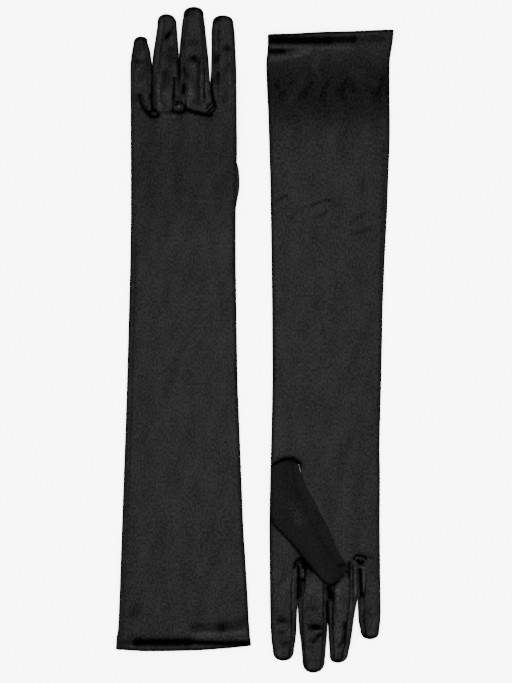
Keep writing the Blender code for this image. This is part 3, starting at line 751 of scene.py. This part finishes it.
def support_under_thumb(glove, u, v):
    """The height that the right thumb lies on."""
    low, high = glove.edges(np.clip(v, 0, KNUCKLE))
    edge = np.maximum(np.minimum(u - low, high - u), 0)
    turn = rounded(edge, EDGE_SLOPE)
    knuckles = 2.0 * MM * smooth((v - 472 * MM) / (24 * MM))
    raised = crown(edge, MIDDLE_THICKNESS - 0.3 * MM)
    return FLOOR_GAP + EDGE_THICKNESS * (0.5 + 0.5 * turn) + raised + knuckles


def quarter_round(travelled, run):
    """0 at an end, rising steeply and then levelling off to 1 after a run."""
    return np.sqrt(1 - (1 - (travelled + 0.2 * MM) / run).clip(0, 1) ** 2)


def thumb_points(glove):
    """The thumb's loops, from its base on the palm to its slanting tip, and their tones."""
    outline = thumb_outline(glove)
    fold, seam = outline[:, None, :2], outline[:, None, 2:]
    share = fractions_across(THUMB_COLUMNS, 3.2)[None, :, None]
    place = seam + (fold - seam) * share
    u, v = place[..., 0], place[..., 1]
    share = share[..., 0]
    breadth = np.linalg.norm(fold - seam, axis=2)
    middles = outline.reshape(-1, 2, 2).mean(1)
    travelled = running_total(np.linalg.norm(np.diff(middles, axis=0), axis=1))[:, None]
    base = quarter_round(travelled, 11 * MM)
    tip = quarter_round(travelled[-1] - travelled, 3.5 * MM)
    thick = THUMB_THICKNESS[glove.side] * (0.25 + 0.75 * base) * (0.1 + 0.9 * tip)
    half = thick / 2 * (0.24 + 0.76 * smooth(share / 0.85))
    arch = (1 - np.abs(2 * share - 1) ** 7) ** (1 / 7)
    relief = 0.16 * MM * ripples(u, v, 20, 100, 60, glove.seed + 60, 14)
    relief = relief + 0.04 * MM * ripples(u, v, 5, 60, 60, glove.seed + 61, 20)
    inside = smooth(share / 0.12) * smooth((1 - share) / 0.12) * np.minimum(base, tip)
    groove = bump((share - THUMB_SEAM_SHARE) * breadth, 0.8 * MM) * tip
    # The thumb's seam groove is painted darker: painted shade
    tone = 1 - 0.22 * groove
    if glove.palm_up:
        # Painted shade in the crease by the tip, a painted shadow along the fold side's rim, and a painted
        # highlight across the thumb's middle
        tip_crease = bump(distance_to_line(u, v, [(-12, 478.2), (-18, 477.4)]), 1.5 * MM)
        rim = bump((1 - share) * breadth, 1.9 * MM) * smooth((v - 430 * MM) / (10 * MM))
        painted_shine = bump(distance_to_line(u, v, [(25, 438), (29, 425)]), 4.5 * MM)
        relief = relief - 0.5 * MM * tip_crease
        tone = tone * (1 - 0.8 * tip_crease) * (1 - 0.97 * rim) * (1 + 0.9 * painted_shine)
        rest = support_under_thumb(glove, u, v) + 0.12 * MM + half
    else:
        # The fold that shows past the hand catches the light
        tone = tone * (1 + 1.8 * smooth((share - 0.8) / 0.12))
        rest = 0.1 * MM + half
    relief = relief * inside - 0.12 * MM * groove
    return closed_loops(u, v, rest + half * arch + relief * arch, rest - half * arch, tone)


def placed(name, data, location=(0.0, 0.0, 0.0)):
    """A new object in the scene."""
    obj = bpy.data.objects.new(name, data)
    obj.location = location
    bpy.context.collection.objects.link(obj)
    return obj


def finished(bm, name):
    """The object made of a finished BMesh."""
    mesh = bpy.data.meshes.new(name)
    bm.to_mesh(mesh)
    bm.free()
    return placed(name, mesh)


def cover(obj, material, painted_shade):
    """Give a piece its satin, and the dull copy of it to the faces deep in a crease or turned under, whose
    painted tone is darkest: painted shade.
    """
    mesh = obj.data
    mesh.materials.append(material)
    mesh.materials.append(painted_shade)
    tones = mesh.attributes["tone"].data
    for polygon in mesh.polygons:
        if sum(tones[vert].value for vert in polygon.vertices) < PAINTED_SHADE_TONE * len(polygon.vertices):
            polygon.material_index = 1


def mesh_from_loops(name, loops, tones, capped_start=False, capped_end=False, strips=None):
    """A tube mesh through closed loops of points, with the cloth's coordinates in metres as its UVs and
    the satin's tone as an attribute. strips limits it to some (first, last) columns."""
    rows, columns = loops.shape[:2]
    wanted = range(columns) if strips is None else [j % columns for a, b in strips for j in range(a, b)]
    bm = bmesh.new()
    tone_layer = bm.verts.layers.float.new("tone")
    layer = bm.loops.layers.uv.new("cloth")
    verts = [[bm.verts.new(point) for point in row] for row in loops]
    for row, row_tones in zip(verts, tones):
        for vert, tone in zip(row, row_tones):
            vert[tone_layer] = float(np.clip(tone, 0.02, 3.0))
    steps_around = np.linalg.norm(np.diff(loops, axis=1, append=loops[:, :1]), axis=2)
    around = running_total(steps_around.max(axis=0))
    down = running_total(np.linalg.norm(np.diff(loops, axis=0), axis=2).max(axis=1))
    for i in range(rows - 1):
        for j in wanted:
            k = (j + 1) % columns
            face = bm.faces.new((verts[i][j], verts[i][k], verts[i + 1][k], verts[i + 1][j]))
            face.smooth = True
            for corner, (a, b) in zip(face.loops, ((j, i), (j + 1, i), (j + 1, i + 1), (j, i + 1))):
                corner[layer].uv = (around[a], down[b])
    if capped_start:
        bm.faces.new(verts[0][::-1]).smooth = True
    if capped_end:
        bm.faces.new(verts[-1]).smooth = True
    bmesh.ops.delete(bm, geom=[vert for vert in bm.verts if not vert.link_faces], context="VERTS")
    bmesh.ops.remove_doubles(bm, verts=bm.verts, dist=SAME_PLACE)
    bmesh.ops.recalc_face_normals(bm, faces=bm.faces)
    middle = np.mean(loops[..., 2])
    outward = sum((f.calc_center_median().z - middle) * f.normal.z * f.calc_area() for f in bm.faces)
    if strips is not None and outward < 0:
        bmesh.ops.reverse_faces(bm, faces=bm.faces)
    return finished(bm, name)


def stitches(name, points, directions, length, radius):
    """A row of small thread stitches: each a rounded rod lying along its direction."""
    bm = bmesh.new()
    tone_layer = bm.verts.layers.float.new("tone")
    layer = bm.loops.layers.uv.new("cloth")
    turns = np.linspace(0, 2 * math.pi, STITCH_SIDES, endpoint=False)
    for point, direction in zip(points, directions):
        way = direction / np.linalg.norm(direction)
        side = np.cross(way, (0.0, 0.0, 1.0))
        side = side / np.linalg.norm(side)
        up = np.cross(side, way)
        rings = []
        for along, thick in STITCH_PROFILE:
            centre = point + way * along * length
            rings.append([bm.verts.new(centre + radius * thick * (math.cos(t) * side + math.sin(t) * up))
                          for t in turns])
        for a, b in zip(rings, rings[1:]):
            for k in range(STITCH_SIDES):
                after = (k + 1) % STITCH_SIDES
                face = bm.faces.new((a[k], a[after], b[after], b[k]))
                face.smooth = True
                for corner in face.loops:
                    corner[layer].uv = corner.vert.co.xy
        for ring in (rings[0][::-1], rings[-1]):
            bm.faces.new(ring)
    for vert in bm.verts:
        vert[tone_layer] = 1.0
    bmesh.ops.recalc_face_normals(bm, faces=bm.faces)
    return finished(bm, name)


class Shading:
    """A material's nodes, added one at a time."""

    def __init__(self, name):
        self.material = bpy.data.materials.new(name)
        self.material.use_nodes = True
        self.nodes = self.material.node_tree.nodes
        self.link = self.material.node_tree.links.new
        self.shader = self.nodes["Principled BSDF"]

    def add(self, kind, **inputs):
        """A node with some of its inputs set; an underscore stands for a space in an input's name."""
        node = self.nodes.new(kind)
        for name, value in inputs.items():
            node.inputs[name.replace("_", " ")].default_value = value
        return node

    def noise(self, uv, scale, detail):
        """Noise, stretched differently across and along the cloth."""
        stretch = self.add("ShaderNodeMapping", Scale=(*scale, 1.0))
        self.link(uv.outputs["UV"], stretch.inputs["Vector"])
        texture = self.add("ShaderNodeTexNoise", Scale=1.0, Detail=detail)
        self.link(stretch.outputs["Vector"], texture.inputs["Vector"])
        return texture.outputs["Fac"]

    def mix(self, a, b, share):
        """A mix of two values."""
        node = self.add("ShaderNodeMix", Factor=share)
        self.link(a, node.inputs["A"])
        self.link(b, node.inputs["B"])
        return node.outputs["Result"]


def satin_material(name, dark, light, gloss, roughness, grain):
    """Satin: threads and a fine mottle in its colour, gloss and surface, and the cloth's tone, which
    carries painted shade and painted highlights into the colour.
    """
    shading = Shading(name)
    shader, link = shading.shader, shading.link
    shader.inputs["Specular IOR Level"].default_value = gloss
    uv = shading.add("ShaderNodeUVMap")
    uv.uv_map = "cloth"
    threads = shading.noise(uv, (1500.0, 260.0), 3.0)
    mottle = shading.noise(uv, (560.0, 420.0), 2.0)
    cloud = shading.noise(uv, (60.0, 34.0), 2.0)
    pattern = shading.mix(shading.mix(threads, mottle, 0.62), cloud, 0.16)
    ramp = shading.add("ShaderNodeValToRGB")
    for element, position, grey in zip(ramp.color_ramp.elements, (0.42, 0.58), (dark, light)):
        element.position = position
        element.color = (grey, grey, grey, 1.0)
    link(pattern, ramp.inputs["Fac"])
    tone = shading.add("ShaderNodeAttribute")
    tone.attribute_name = "tone"
    toned = shading.add("ShaderNodeVectorMath")
    toned.operation = "SCALE"
    link(ramp.outputs["Color"], toned.inputs[0])
    link(tone.outputs["Fac"], toned.inputs["Scale"])
    link(toned.outputs["Vector"], shader.inputs["Base Color"])
    # Where the painted shade is darkest, the satin is made duller too
    duller = shading.add("ShaderNodeMapRange", From_Min=1.0, From_Max=0.0, To_Min=roughness - 0.03,
                         To_Max=0.95)
    link(tone.outputs["Fac"], duller.inputs["Value"])
    rough = shading.add("ShaderNodeMath")
    rough.operation = "MULTIPLY_ADD"
    rough.inputs[1].default_value = 0.10
    link(threads, rough.inputs[0])
    link(duller.outputs["Result"], rough.inputs[2])
    link(rough.outputs["Value"], shader.inputs["Roughness"])
    surface = shading.add("ShaderNodeBump", Strength=grain, Distance=GRAIN_HEIGHT)
    link(pattern, surface.inputs["Height"])
    link(surface.outputs["Normal"], shader.inputs["Normal"])
    return shading.material


def build_hem_stitches(glove, loops, thread):
    """Blind stitches that hold the turned hem all the way round."""
    row = int(np.argmin(np.abs(np.array([r[0] for r in trank_rows()]) - HEM_STITCHES)))
    ring = glove.world(loops[row])
    closed = np.concatenate([ring, ring[:1]])
    run = running_total(np.linalg.norm(np.diff(closed, axis=0), axis=1))
    count = int(run[-1] / STITCH_PITCH)
    spots = (np.arange(count) + 0.5) * run[-1] / count
    points, ahead = (np.stack([np.interp(at, run, closed[:, k]) for k in range(3)], axis=1)
                     for at in (spots, (spots + 0.4 * MM) % run[-1]))
    sewn = stitches(f"{glove.side}_hem_stitches", points, ahead - points, STITCH_LENGTH, STITCH_RADIUS)
    sewn.data.materials.append(thread)
    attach(sewn, f"{glove.side}_glove")
    return sewn


def build_trank(glove, materials):
    """The tube of the sleeve and hand, its turned hem and the hem's stitches."""
    side = glove.side
    loops, tones = trank_points(glove, trank_rows())
    trank = mesh_from_loops(f"{side}_trank", glove.world(loops), tones)
    cover(trank, materials["shell"], materials["painted_shade"])
    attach(trank, f"{side}_glove")
    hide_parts(*(f"{side}_{n}" for n in ("back_panel", "palm_panel", "trank_seam", "trank_fold")))
    turn_loops, turn_tones = trank_points(glove, turning_rows())
    turning = mesh_from_loops(f"{side}_hem_turning", glove.world(turn_loops), turn_tones)
    turning.data.materials.append(materials["hem"])
    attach(turning, f"{side}_glove")
    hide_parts(f"{side}_hem_band")
    sewn = build_hem_stitches(glove, loops, materials["thread"])
    return trank


def build_finger(glove, name, number, materials):
    """A finger: its back and palm in one piece, and the fourchettes between them in another."""
    side = glove.side
    nodes = [n for n in frame["nodes"] if n.startswith(f"{side}_{name}_")]
    gussets = [n for n in nodes if "fourchette" in n]
    finger = finger_rows(glove, name, number)
    loops, tones = finger_points(glove, finger)
    near, far = finger.seam_columns
    columns = loops.shape[1]
    near_gusset, far_gusset = (columns - near, columns + near), (far, columns - far)
    shell_strips, gusset_strips = {
        "pinky": ([(columns - far, columns + far)], [far_gusset]),
        "index": ([(near, columns - near)], [near_gusset]),
    }.get(name, ([(near, far), (columns - far, columns - near)], [near_gusset, far_gusset]))
    world = glove.world(loops)
    shell = mesh_from_loops(f"{side}_{name}_cloth", world, tones, capped_end=True, strips=shell_strips)
    cover(shell, materials["shell"], materials["painted_shade"])
    gusset = mesh_from_loops(f"{side}_{name}_fourchettes", world, tones, strips=gusset_strips)
    cover(gusset, materials["fourchette"], materials["painted_shade"])
    middle = sum(finger.span) / 2
    hinge = glove.hinge_length(name)
    start = tuple(glove.world((middle, hinge, 0.0)))
    end = tuple(glove.world((middle, hinge + FINGER_BEND, 0.0)))
    for piece, replaced, slot in ((shell, [n for n in nodes if n not in gussets], "satin_shell"),
                                  (gusset, gussets, "satin_fourchette")):
        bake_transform(piece)
        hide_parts(*replaced)


def build_thumb(glove, materials):
    """A thumb: a closed tube, which the front and the back of the thumb make up."""
    side = glove.side
    loops, tones = thumb_points(glove)
    thumb = mesh_from_loops(f"{side}_thumb_cloth", glove.world(loops), tones, True, True)
    cover(thumb, materials["thumb"], materials["painted_shade"])
    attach(thumb, f"{side}_thumb")
    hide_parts(*(n for n in frame["nodes"] if n.startswith(f"{side}_thumb_")))


def build_painted_glint(glove, materials):
    """Pale rods at the right thumb's base that stand in for a small white glint: a painted highlight."""
    a, b = (glove.world((u * MM, v * MM, 5.6 * MM)) for u, v in PAINTED_GLINT_LINE)
    spots = [a + (b - a) * t for t in (0.12, 0.5, 0.88)]
    glint = stitches(f"{glove.side}_thumb_painted_glint", spots, [b - a] * 3, PAINTED_GLINT_LENGTH, PAINTED_GLINT_RADIUS)
    glint.data.materials.append(materials["painted_glint"])
    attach(glint, f"{glove.side}_glove")


def build_floor():
    """The plain pale floor."""
    bpy.ops.mesh.primitive_plane_add(size=8.0, location=(0.0, 0.0, -0.0005))
    floor = bpy.context.object
    floor.name = "floor"
    shading = Shading("pale_floor")
    for name, value in (("Base Color", FLOOR_COLOUR), ("Roughness", 0.9), ("Specular IOR Level", 0.1)):
        shading.shader.inputs[name].default_value = value
    floor.data.materials.append(shading.material)


def build_light():
    """An even white surround and a large lamp overhead."""
    world = bpy.data.worlds.new("studio")
    bpy.context.scene.world = world
    world.use_nodes = True
    background = world.node_tree.nodes["Background"]
    background.inputs["Color"].default_value = (1.0, 1.0, 1.0, 1.0)
    background.inputs["Strength"].default_value = SURROUND_STRENGTH
    lamp = bpy.data.lights.new("overhead", "AREA")
    lamp.shape = "RECTANGLE"
    lamp.size, lamp.size_y = 1.3, 1.6
    lamp.energy = LAMP_WATTS
    placed("overhead", lamp, (0.0, 0.0, 2.2))


def build_camera():
    """The camera looks straight down, as in the photo."""
    camera = bpy.data.cameras.new("camera")
    camera.lens = LENS
    height = VIEW_HEIGHT * camera.lens / camera.sensor_width
    bpy.context.scene.camera = placed("camera", camera, (1.1 * MM, -1.7 * MM, height))


def main():
    """The floor, both gloves, the light and the camera."""
    materials = {use: satin_material(*values) for use, values in MATERIALS.items()}
    build_floor()
    for side in ("left", "right"):
        glove = Glove(side)
        trank = build_trank(glove, materials)
        for number, name in enumerate(FINGERS):
            build_finger(glove, name, number, materials)
        build_thumb(glove, materials)
    build_painted_glint(glove, materials)
    build_light()
    build_camera()


main()
